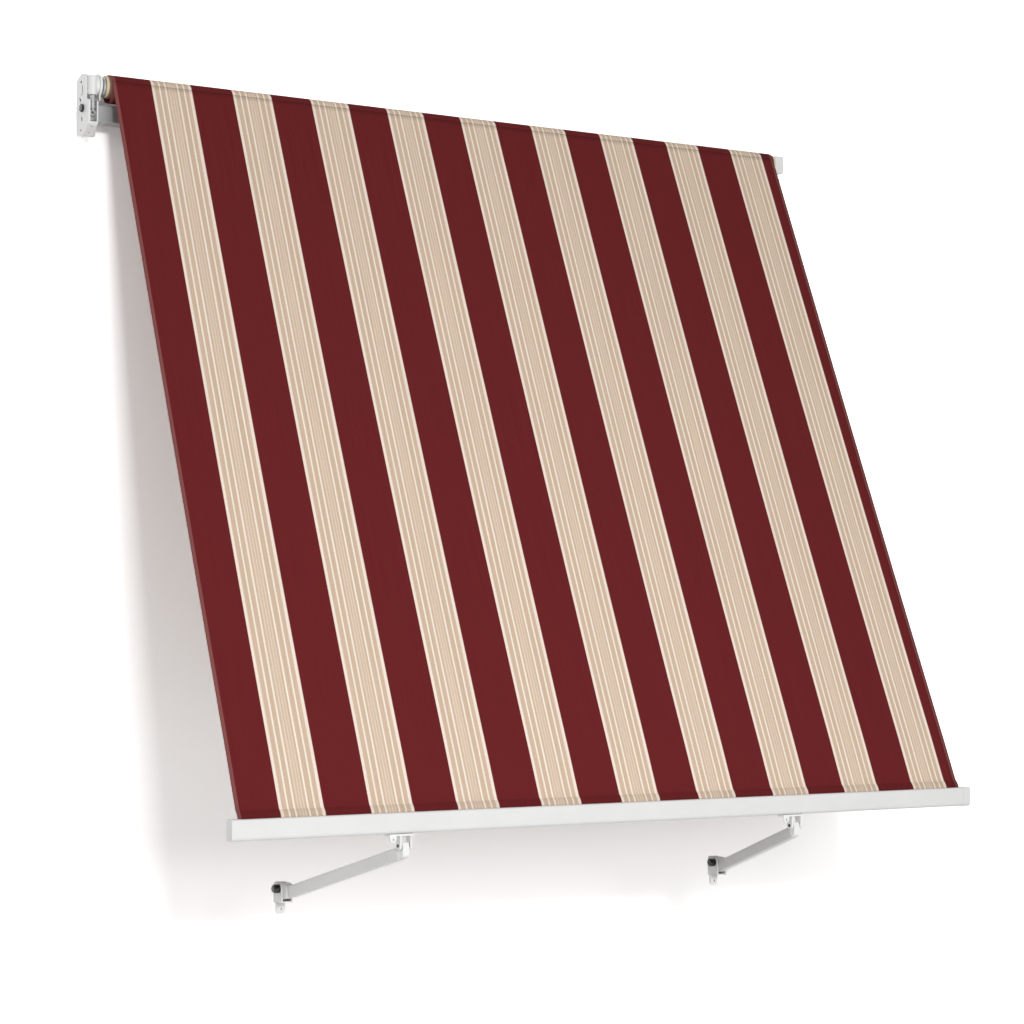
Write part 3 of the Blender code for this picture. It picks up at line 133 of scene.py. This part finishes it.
def wovenAcrylic(name):
    made, tree = newMaterial(name)
    place = addNode(tree, "ShaderNodeUVMap", uv_map="cloth")  # metres across and down the cloth
    split = addNode(tree, "ShaderNodeSeparateXYZ", {"Vector": place.outputs["UV"]})
    across, downward = split.outputs["X"], split.outputs["Y"]
    fromStripe = addNode(tree, "ShaderNodeMath", {
        0: across, 1: fabricStripes["firstStripe"] - fabricStripes["pitch"]
    }, operation="SUBTRACT")
    turns = addNode(tree, "ShaderNodeMath", {
        0: fromStripe.outputs[0], 1: fabricStripes["pitch"]
    }, operation="DIVIDE")
    repeat = addNode(tree, "ShaderNodeMath", {0: turns.outputs[0]}, operation="FRACT")
    stripes = addNode(tree, "ShaderNodeValToRGB", {"Fac": repeat.outputs[0]})
    setRamp(stripes, stripeStops())

    # streaks along the warp: bundles of yarns 2.4 mm wide that run some 330 mm, taken from UV metres
    streakPlace = addNode(tree, "ShaderNodeVectorMath", {
        0: place.outputs["UV"], 1: (420.0, 3.0, 1.0)
    }, operation="MULTIPLY")
    streaks = addNode(tree, "ShaderNodeTexNoise", {
        "Vector": streakPlace.outputs[0], "Scale": 1.0, "Detail": 3.0
    })
    streakShade = addNode(tree, "ShaderNodeMapRange", {
        "Value": streaks.outputs["Fac"], "From Min": 0.3, "From Max": 0.7, "To Min": 0.93, "To Max": 1.07
    })

    # slubs of the spun yarn: spots about 4 by 5 mm, ten times the thread, so that they show from afar
    slubPlace = addNode(tree, "ShaderNodeVectorMath", {
        0: place.outputs["UV"], 1: (260.0, 200.0, 1.0)
    }, operation="MULTIPLY")
    slubs = addNode(tree, "ShaderNodeTexNoise", {
        "Vector": slubPlace.outputs[0], "Scale": 1.0, "Detail": 4.0, "Roughness": 0.7
    })
    slubShade = addNode(tree, "ShaderNodeMapRange", {
        "Value": slubs.outputs["Fac"], "From Min": 0.3, "From Max": 0.7, "To Min": 0.93, "To Max": 1.06
    })
    shade = addNode(tree, "ShaderNodeMath", {
        0: streakShade.outputs["Result"], 1: slubShade.outputs["Result"]
    }, operation="MULTIPLY")

    # painted highlight: the welded side hems are painted paler than the cloth, standing in for the light
    # caught along their edges
    fromLeft = addNode(tree, "ShaderNodeMath", {0: across, 1: fabricStripes["left"]}, operation="SUBTRACT")
    fromRight = addNode(tree, "ShaderNodeMath", {0: fabricStripes["right"], 1: across}, operation="SUBTRACT")
    edgeGap = addNode(tree, "ShaderNodeMath", {
        0: fromLeft.outputs[0], 1: fromRight.outputs[0]
    }, operation="MINIMUM")
    sideHemHighlight = addNode(tree, "ShaderNodeMapRange", {
        "Value": edgeGap.outputs[0], "From Min": fabricStripes["hemWidth"],
        "From Max": fabricStripes["hemWidth"] + 0.0016, "To Min": 0.7, "To Max": 0.0,
    })
    hemHighlighted = addNode(tree, "ShaderNodeMix", {
        0: sideHemHighlight.outputs["Result"], 6: stripes.outputs["Color"], 7: hexColour(fabricStripes["burgundyHemHighlight"])
    }, data_type="RGBA")

    # beyond the side edges only the cut ends of the rolled turns are seen
    rollEnd = addNode(tree, "ShaderNodeMath", {0: edgeGap.outputs[0], 1: -0.0003}, operation="LESS_THAN")
    edged = addNode(tree, "ShaderNodeMix", {
        0: rollEnd.outputs[0], 6: hemHighlighted.outputs[2], 7: hexColour(fabricStripes["rollEnd"])
    }, data_type="RGBA")

    # painted shade: the bottom hem is doubled cloth and lets no light through, so it is painted darker than
    # the sheet
    hemStart = addNode(tree, "ShaderNodeMapRange", {
        "Value": downward, "From Min": fabricStripes["length"] - fabricStripes["hemLength"] - 0.0012,
        "From Max": fabricStripes["length"] - fabricStripes["hemLength"], "To Min": 1.0, "To Max": 0.86,
    })
    toneAndHemShade = addNode(tree, "ShaderNodeMath", {
        0: shade.outputs[0], 1: hemStart.outputs["Result"]
    }, operation="MULTIPLY")
    colour = addNode(tree, "ShaderNodeVectorMath", {
        0: edged.outputs[2], "Scale": toneAndHemShade.outputs[0]
    }, operation="SCALE")

    # plain weave: ribs of 1.2 mm both ways, twice the real thread so that a near view shows them
    ribs = []
    for direction in (across, downward):
        phase = addNode(tree, "ShaderNodeMath", {
            0: direction, 1: 2 * math.pi / 0.0012
        }, operation="MULTIPLY")
        ribs.append(addNode(tree, "ShaderNodeMath", {0: phase.outputs[0]}, operation="SINE"))
    weave = addNode(tree, "ShaderNodeMath", {
        0: ribs[0].outputs[0], 1: ribs[1].outputs[0]
    }, operation="MULTIPLY")
    bump = addNode(tree, "ShaderNodeBump", {
        "Height": weave.outputs[0], "Strength": 0.25, "Distance": 0.0002
    })
    shader = addNode(tree, "ShaderNodeBsdfPrincipled", {
        "Base Color": colour.outputs[0],
        "Normal": bump.outputs["Normal"],
        "Roughness": 0.95,
        "Specular IOR Level": 0.06,
    })
    addNode(tree, "ShaderNodeOutputMaterial", {"Surface": shader.outputs["BSDF"]})
    return made


def coatedMetal(name, colour, roughness, grain, depth, metallic=0.0, wear=0.04):
    # grain is the size in metres of the texture that the process leaves, depth its height
    made, tree = newMaterial(name)
    place = addNode(tree, "ShaderNodeTexCoord")
    fine = addNode(tree, "ShaderNodeTexNoise", {
        "Vector": place.outputs["Object"], "Scale": 1.0 / grain, "Detail": 3.0
    })
    broad = addNode(tree, "ShaderNodeTexNoise", {
        "Vector": place.outputs["Object"], "Scale": 14.0, "Detail": 4.0
    })
    tone = addNode(tree, "ShaderNodeMapRange", {
        "Value": broad.outputs["Fac"], "From Min": 0.3, "From Max": 0.7,
        "To Min": 1.0 - wear, "To Max": 1.0,
    })
    base = addNode(tree, "ShaderNodeVectorMath", {
        0: hexColour(colour)[:3], "Scale": tone.outputs["Result"]
    }, operation="SCALE")
    rough = addNode(tree, "ShaderNodeMapRange", {
        "Value": fine.outputs["Fac"], "From Min": 0.3, "From Max": 0.7,
        "To Min": roughness - 0.05, "To Max": roughness + 0.06,
    })
    bump = addNode(tree, "ShaderNodeBump", {
        "Height": fine.outputs["Fac"], "Strength": 0.3, "Distance": depth
    })
    shader = addNode(tree, "ShaderNodeBsdfPrincipled", {
        "Base Color": base.outputs[0],
        "Roughness": rough.outputs["Result"],
        "Normal": bump.outputs["Normal"],
        "Metallic": metallic,
    })
    addNode(tree, "ShaderNodeOutputMaterial", {"Surface": shader.outputs["BSDF"]})
    return made


finishes = {
    # polyester powder coat on extruded aluminium: smooth satin with faint orange peel
    "powderCoatedProfile": coatedMetal("powderCoatedProfile", "#E4E4E3", 0.38, 0.0020, 0.00004),
    # the same coat over a pressure die casting: a little rougher, softer edges
    "powderCoatedCasting": coatedMetal("powderCoatedCasting", "#F0F0EF", 0.42, 0.0012, 0.00008),
    # hot-dip galvanised steel: dull grey with a soft cloudy spangle
    "galvanisedSteel": coatedMetal("galvanisedSteel", "#B4B5B6", 0.45, 0.0060, 0.00003, 0.25, 0.14),
    # bright zinc-plated fasteners, turned and pressed
    "zincPlatedSteel": coatedMetal("zincPlatedSteel", "#B9BABB", 0.30, 0.0010, 0.00003, 1.0, 0.10),
    # blackened steel pins and bolts; the same finish is put inside the drilled holes as painted shade
    "blackenedSteelAndHoleShade": coatedMetal("blackenedSteelAndHoleShade", "#3A3A3B", 0.36, 0.0010, 0.00003, 0.7, 0.12),
    # bare zinc die casting of the gear's spindle and crank shaft: mid grey, matt
    "zincDieCasting": coatedMetal("zincDieCasting", "#B9BABB", 0.40, 0.0012, 0.00006, 0.35, 0.08),
    # nylon caps, injection moulded, left natural: warm cream with fine mould texture
    "naturalNylon": coatedMetal("naturalNylon", "#E2CDAE", 0.45, 0.0008, 0.00005),
    # black nylon knobs and plugs, injection moulded in a polished mould: dark and glossy
    "blackNylon": coatedMetal("blackNylon", "#1E1E1F", 0.22, 0.0008, 0.00004, 0.0, 0.20),
}
nodeFinish = {
    "powderCoatedProfile": [
        "front_bar", "front_bar_left_cap", "front_bar_right_cap", "left_arm_beam", "right_arm_beam"
    ],
    "galvanisedSteel": ["square_bar", "roller_tube"],
    "blackenedSteelAndHoleShade": ["left_fork_pin", "right_fork_pin", "left_bar_bolt", "right_bar_bolt"],
    "zincDieCasting": ["drive_spindle", "crank_shaft"],
    "naturalNylon": ["roller_left_cap", "roller_right_cap", "worm_wheel", "roller_welt", "hem_welt"],
    "blackNylon": ["left_bar_plug", "right_bar_plug", "left_knob", "right_knob", "right_bush"],
    "zincPlatedSteel": [name for name in nodes if "screw" in name or name.endswith("_pivot_bolt")],
}
finishOf = {node: finish for finish, members in nodeFinish.items() for node in members}
for name, node in nodes.items():
    node.data.materials.clear()
    node.data.materials.append(finishes[finishOf.get(name, "powderCoatedCasting")])
awningCanvas = wovenAcrylic("wovenAcrylicCanvas")
print("materials made:", len(bpy.data.materials))


# painted shade: the walls of the drilled holes take a near-black finish for the shade inside them; for each
# casting the holes' direction and their (point, reach), in metres
shadedHoles = {
    "left_bracket": ("x", [
        ((-0.018, -0.0315, 0.0105), 0.0037), ((-0.018, -0.0270, -0.0300), 0.0039),
        ((-0.018, -0.0215, -0.0245), 0.0020), ((-0.018, -0.0310, -0.0990), 0.0030),
        ((-0.018, -0.0370, -0.0746), 0.0056), ((-0.018, -0.0430, -0.0506), 0.0050),
    ]),
    "left_wall_bracket": ("y", [((0.324, -0.368, -1.822), 0.0031)]),
    "right_wall_bracket": ("y", [((1.464, -0.368, -1.822), 0.0031)]),
    "left_fork": ("y", [((0.3718, -0.805, -1.6418), 0.0026)]),
    "right_fork": ("y", [((1.3558, -0.805, -1.6418), 0.0026)]),
}
slotArc = {"y": -0.0255, "z": -0.0075, "inner": 0.0141, "outer": 0.0173}
drilled = {
    "plateInnerX": -0.0155,  # the left plate's holes lie outward of this
    "wallNormal": 0.5,  # a face that leans further along the hole isn't its wall
    "depth": 0.008,
}


def inPaintedHoleShade(direction, holes, centre, normal):
    if direction == "x":
        if centre.x > drilled["plateInnerX"] or abs(normal.x) > drilled["wallNormal"]:
            return False
        away = math.hypot(centre.y - slotArc["y"], centre.z - slotArc["z"])
        if slotArc["inner"] < away < slotArc["outer"] and centre.y < slotArc["y"]:
            return True
        return any(math.hypot(centre.y - hole[1], centre.z - hole[2]) < reach for hole, reach in holes)
    if abs(normal.y) > drilled["wallNormal"]:
        return False
    return any(
        math.hypot(centre.x - hole[0], centre.z - hole[2]) < reach
        and abs(centre.y - hole[1]) < drilled["depth"]
        for hole, reach in holes
    )


for name, (direction, holes) in shadedHoles.items():
    casting = nodes[name]
    # painted shade: the faces inside the holes and the curved slot take the blackened finish
    casting.data.materials.append(finishes["blackenedSteelAndHoleShade"])
    shaded = 0
    for face in casting.data.polygons:
        centre = casting.matrix_world @ face.center
        face.material_index = int(inPaintedHoleShade(direction, holes, centre, face.normal))
        shaded += face.material_index
    print(name, "faces bare inside its holes:", shaded)

cloth = {
    "left": fabricStripes["left"],
    "width": 1.828,
    "slope": math.radians(24.08),
    "axisY": -0.054,
    "radius": 0.0273,
    "thickness": 0.0007,
    "hemTop": -1.5705,  # where the bottom hem starts
    "slotY": -0.796,
    "slotZ": -1.588,
    "slotDepth": 0.0010,
    "sag": 0.0022,
    "sagSkew": 1.15,  # above 1 the sag is deepest below the middle
    "hemShare": 0.05,  # part of the grid's rows that makes the bottom hem
    "hemLength": 0.021,
    "hemStep": 0.0012,  # how far the cloth steps inward over the last of its run
    "hemBulge": 0.0016,
    "ripple": 0.0009,
    "across": 92,
    "down": 120,
}
slope = cloth["slope"]
downDirection = Vector((0.0, -math.sin(slope), -math.cos(slope)))
outDirection = Vector((0.0, -math.cos(slope), math.sin(slope)))
tangentPoint = Vector((0.0, cloth["axisY"], 0.0)) + outDirection * cloth["radius"]
straightLength = (tangentPoint.z - cloth["hemTop"]) / math.cos(slope)


def smoothStep(value):
    value = max(0.0, min(1.0, value))
    return value * value * (3 - 2 * value)


def clothPoint(share):
    # share 0 at the roll, 1 at the hem's upper edge, beyond that down the hem into the bar's slot
    along = min(share, 1.0) * straightLength
    point = tangentPoint + downDirection * along
    point -= outDirection * cloth["sag"] * math.sin(math.pi * min(share, 1.0) ** cloth["sagSkew"])
    point -= outDirection * cloth["hemStep"] * smoothStep((share - 0.93) / 0.07)
    if share > 1.0:
        hemShare = share - 1.0
        mouth = Vector((0.0, cloth["slotY"], cloth["slotZ"] - cloth["slotDepth"]))
        point = point.lerp(mouth, hemShare) + outDirection * cloth["hemBulge"] * math.sin(math.pi * hemShare)
    return point


def finishedCloth(name, bm):
    made = finishedMesh(name, bm)
    made.data.materials.append(awningCanvas)
    wall = made.modifiers.new("clothThickness", "SOLIDIFY")
    wall.thickness = cloth["thickness"]
    wall.offset = 0.0
    return made


def makeSheet():
    bm = bmesh.new()
    uvs = bm.loops.layers.uv.new("cloth")
    bmesh.ops.create_grid(bm, x_segments=cloth["across"], y_segments=cloth["down"], size=0.5)
    places = {}
    hemStart = 1.0 - cloth["hemShare"]
    for vert in bm.verts:
        share = 0.5 - vert.co.y
        share = share / hemStart if share < hemStart else 1.0 + (share - hemStart) / cloth["hemShare"]
        x = cloth["left"] + cloth["width"] * (vert.co.x + 0.5)
        point = clothPoint(share)
        # shallow ripples across the cloth, none at the roll and none at the hem
        ripple = math.sin(x * 19.0 + 1.3) * math.sin(x * 7.1) * cloth["ripple"] * smoothStep(share / 0.2)
        ripple *= smoothStep((1.0 - share) / 0.15)
        point += outDirection * ripple
        vert.co = (x, point.y, point.z)
        length = min(share, 1.0) * straightLength + max(share - 1.0, 0.0) * cloth["hemLength"]
        places[vert] = (x, length)
    for face in bm.faces:
        face.smooth = True
        for loop in face.loops:
            loop[uvs].uv = places[loop.vert]
    bmesh.ops.recalc_face_normals(bm, faces=bm.faces)
    if sum(face.normal.y for face in bm.faces) > 0:
        bmesh.ops.reverse_faces(bm, faces=bm.faces)
    return finishedCloth("awningSheet", bm)


sheet = makeSheet()
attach(sheet, "fabric")
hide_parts("fabric")
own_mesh(sheet)
print("sheet made")

roll = {
    "turnThickness": 0.0007,
    "inner": 0.0253,
    "turns": 2,
    "stepIn": 0.0006,  # how far each turn's edge stands inside the one below
    "proud": 0.0042,  # the rolled turns reach this far beyond the sheet's side edges
    "segments": 72,
}


def spunStrip(name, points, angle, steps, uvStart, startDirection):
    # points are (x, radius) pairs spun about the roller's axis; the UV runs across and round
    bm = bmesh.new()
    verts = [
        bm.verts.new(Vector((x, cloth["axisY"], 0.0)) + startDirection * radius) for x, radius in points
    ]
    edges = [bm.edges.new(pair) for pair in zip(verts, verts[1:])]
    centre = Vector((0.0, cloth["axisY"], 0.0))
    bmesh.ops.spin(
        bm, geom=verts + edges, axis=(1, 0, 0), cent=centre, angle=angle, steps=steps,
        use_merge=abs(abs(angle) - 2 * math.pi) < 0.001,
    )
    uvs = bm.loops.layers.uv.new("cloth")
    for face in bm.faces:
        face.smooth = True
        middle = face.calc_center_median() - centre
        around = math.atan2(middle.z, -middle.y)
        for loop in face.loops:
            spoke = loop.vert.co - centre
            turn = math.atan2(spoke.z, -spoke.y)
            turn += 2 * math.pi * round((around - turn) / (2 * math.pi))
            loop[uvs].uv = (loop.vert.co.x, uvStart - turn * cloth["radius"])
    bmesh.ops.recalc_face_normals(bm, faces=bm.faces)
    piece = finishedMesh(name, bm)
    piece.data.materials.append(awningCanvas)
    return piece


def makeRoll():
    left, right = cloth["left"] - roll["proud"], cloth["left"] + cloth["width"] + roll["proud"]
    inner, thick, inset = roll["inner"], roll["turnThickness"], roll["stepIn"]
    profile = []
    for turn in range(roll["turns"]):
        low, high = inner + thick * turn, inner + thick * (turn + 1)
        profile += [(left + inset * turn, low), (left + inset * turn, high)]
    for turn in reversed(range(roll["turns"])):
        low, high = inner + thick * turn, inner + thick * (turn + 1)
        profile += [(right - inset * turn, high), (right - inset * turn, low)]
    profile.append(profile[0])
    return spunStrip("rolledCanvas", profile, 2 * math.pi, roll["segments"], 0.0, Vector((0, -1, 0)))


rolled = makeRoll()
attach(rolled, "roller")
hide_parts("fabric_roll")


# the outermost turn hangs loose: it leaves the roll at the wall side and swings out below it
loose = {"from": math.radians(105), "end": math.radians(328), "drop": 0.0085, "steps": 72, "across": 24}


def looseRadius(turn):
    share = max(0.0, min(1.0, (turn - loose["from"]) / (loose["end"] - loose["from"])))
    return cloth["radius"] + loose["drop"] * math.sin(math.pi * share) ** 1.3


def makeWrap():
    centre = Vector((0.0, cloth["axisY"], 0.0))
    points, lengths = [], [0.0]
    for step in range(loose["steps"] + 1):
        turn = loose["end"] * step / loose["steps"]
        points.append(centre + Matrix.Rotation(-turn, 3, "X") @ outDirection * looseRadius(turn))
    for before, after in zip(points, points[1:]):
        lengths.append(lengths[-1] + (after - before).length)
    bm = bmesh.new()
    uvs = bm.loops.layers.uv.new("cloth")
    bmesh.ops.create_grid(bm, x_segments=loose["across"], y_segments=loose["steps"], size=0.5)
    places = {}
    for vert in bm.verts:
        step = round((0.5 - vert.co.y) * loose["steps"])
        x = cloth["left"] + cloth["width"] * (vert.co.x + 0.5)
        vert.co = (x, points[step].y, points[step].z)
        places[vert] = (x, -lengths[step])
    for face in bm.faces:
        face.smooth = True
        for loop in face.loops:
            loop[uvs].uv = places[loop.vert]
    bmesh.ops.recalc_face_normals(bm, faces=bm.faces)
    return finishedCloth("wrappedTurn", bm), lengths[-1]


wrap, wrapLength = makeWrap()
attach(wrap, "fabric")
print("wrapped turn, length in metres:", round(wrapLength, 4))
print("roll made")


def planeMesh(name, size, place):
    bm = bmesh.new()
    bmesh.ops.create_grid(bm, x_segments=1, y_segments=1, size=size)
    bmesh.ops.transform(bm, matrix=place, verts=bm.verts)
    made = finishedMesh(name, bm)
    return made


def paleGround(name):
    # camera and mirror rays see a paler paint, so the wall is white yet keeps the whole shadow
    made, tree = newMaterial(name)
    path = addNode(tree, "ShaderNodeLightPath")
    mirrored = addNode(tree, "ShaderNodeMath", {
        0: path.outputs["Is Glossy Ray"], 1: path.outputs["Is Transmission Ray"]
    }, operation="MAXIMUM")
    looked = addNode(tree, "ShaderNodeMath", {
        0: path.outputs["Is Camera Ray"], 1: mirrored.outputs[0]
    }, operation="MAXIMUM")
    level = addNode(tree, "ShaderNodeMapRange", {
        "Value": looked.outputs[0], "To Min": studio["realPaint"], "To Max": studio["seenPaint"]
    })
    paint = addNode(tree, "ShaderNodeBsdfDiffuse", {"Color": level.outputs["Result"]})
    clear = addNode(tree, "ShaderNodeBsdfTransparent")
    side = addNode(tree, "ShaderNodeNewGeometry")
    mix = addNode(tree, "ShaderNodeMixShader", {
        0: side.outputs["Backfacing"], 1: paint.outputs["BSDF"], 2: clear.outputs["BSDF"]
    })
    addNode(tree, "ShaderNodeOutputMaterial", {"Surface": mix.outputs["Shader"]})
    return made


studio = {
    "floorZ": -2.42,
    "wallY": 0.002,
    "seenPaint": 1.9,
    "realPaint": 0.75,
    "size": 12.0,
    "worldLight": 0.34,
}
floor = planeMesh("studioFloor", studio["size"], Matrix.Translation((0.9, -10.0, studio["floorZ"])))
backdrop = planeMesh("studioBackdrop", studio["size"], Matrix.Identity(4))
backdrop.location = (0.0, studio["wallY"], 0.0)
backdrop.rotation_euler = (math.radians(90), 0.0, 0.0)
groundFinish = paleGround("paleStudioPaint")
for item in (floor, backdrop):
    item.data.materials.append(groundFinish)


def areaLight(name, place, aim, size, power):
    data = bpy.data.lights.new(name, "AREA")
    data.shape = "RECTANGLE"
    data.size, data.size_y = size
    data.energy = power
    made = bpy.data.objects.new(name, data)
    scene.collection.objects.link(made)
    made.location = place
    made.rotation_euler = (Vector(aim) - Vector(place)).to_track_quat("-Z", "Y").to_euler()
    made.visible_camera = False
    return made


areaLight("keyPanel", (-1.3, -8.4, 1.3), (0.7, -0.4, -0.8), (1.1, 1.1), 205)
areaLight("lowPanel", (0.7, -4.2, -0.75), (0.85, -0.7, -1.6), (2.0, 1.2), 46)
areaLight("leftPanel", (-4.5, -2.0, 0.3), (0.3, -0.4, -0.6), (2.0, 2.0), 22)

world = bpy.data.worlds.new("paleStudio")
scene.world = world
world.use_nodes = True
worldTree = world.node_tree
worldTree.nodes.clear()
worldPath = addNode(worldTree, "ShaderNodeLightPath")
worldLevel = addNode(worldTree, "ShaderNodeMapRange", {
    "Value": worldPath.outputs["Is Camera Ray"], "To Min": studio["worldLight"], "To Max": 1.0
})
worldGlow = addNode(worldTree, "ShaderNodeBackground", {
    "Color": (1, 1, 1, 1), "Strength": worldLevel.outputs["Result"]
})
addNode(worldTree, "ShaderNodeOutputWorld", {"Surface": worldGlow.outputs["Background"]})
scene.view_settings.view_transform = "Standard"

# the camera solved from the photo, in the part's frame; tilt is upward and turn is towards +X, in degrees
photoView = {
    "place": (-1.8895, -5.1747, -1.2019),
    "tilt": 2.602,
    "turn": 30.168,
    "lens": 85.0,
    "sensor": 36.0,
}
cameraData = bpy.data.cameras.new("photoCamera")
cameraData.lens = photoView["lens"]
cameraData.sensor_width = photoView["sensor"]
camera = bpy.data.objects.new("photoCamera", cameraData)
scene.collection.objects.link(camera)
camera.location = photoView["place"]
camera.rotation_euler = (math.radians(90 + photoView["tilt"]), 0.0, math.radians(-photoView["turn"]))
scene.camera = camera
print("stage ready")
